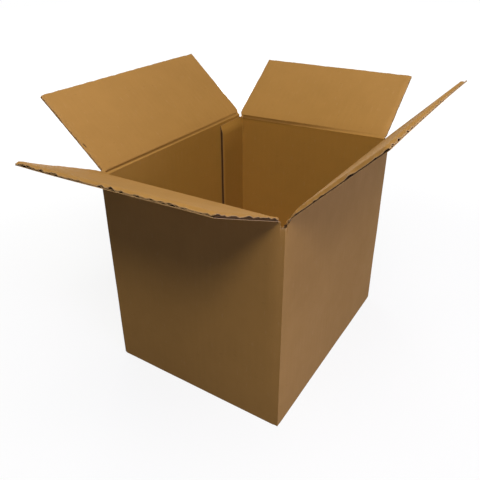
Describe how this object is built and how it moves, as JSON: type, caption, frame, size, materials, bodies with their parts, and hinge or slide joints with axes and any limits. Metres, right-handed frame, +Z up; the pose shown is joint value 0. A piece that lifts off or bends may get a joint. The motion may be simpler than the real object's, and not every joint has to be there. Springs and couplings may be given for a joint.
{
  "type": "open cardboard box",
  "caption": "Open corrugated cardboard box with scored top flaps that fold in to close it, a glued side joint and a closed bottom.",
  "frame": {"origin": "centre of the base, on the surface the box stands on", "axes": "+Z up out of the open top, +X towards the right long wall, +Y towards the back short wall"},
  "size_m": [0.3565, 0.4342, 0.3011],
  "materials": {
    "kraft_board": "matt brown kraft paper over corrugated board"
  },
  "bodies": {
    "box": {"box_body": "kraft_board"},
    "front": {"front_flap": "kraft_board"},
    "back": {"back_flap": "kraft_board"},
    "left": {"left_flap": "kraft_board"},
    "right": {"right_flap": "kraft_board"}
  },
  "joints": [
    {"name": "front_crease", "type": "hinge", "parent": "box", "child": "front", "pos_m": [0, -0.131, 0.225], "axis": [1, 0, 0], "range_deg": [-154.5, 105.5]},
    {"name": "back_crease", "type": "hinge", "parent": "box", "child": "back", "pos_m": [0, 0.131, 0.225], "axis": [-1, 0, 0], "range_deg": [-145, 115]},
    {"name": "left_crease", "type": "hinge", "parent": "box", "child": "left", "pos_m": [-0.104, 0, 0.2294], "axis": [0, -1, 0], "range_deg": [-139.5, 120.5]},
    {"name": "right_crease", "type": "hinge", "parent": "box", "child": "right", "pos_m": [0.104, 0, 0.2294], "axis": [0, 1, 0], "range_deg": [-136.5, 123.5]}
  ]
}
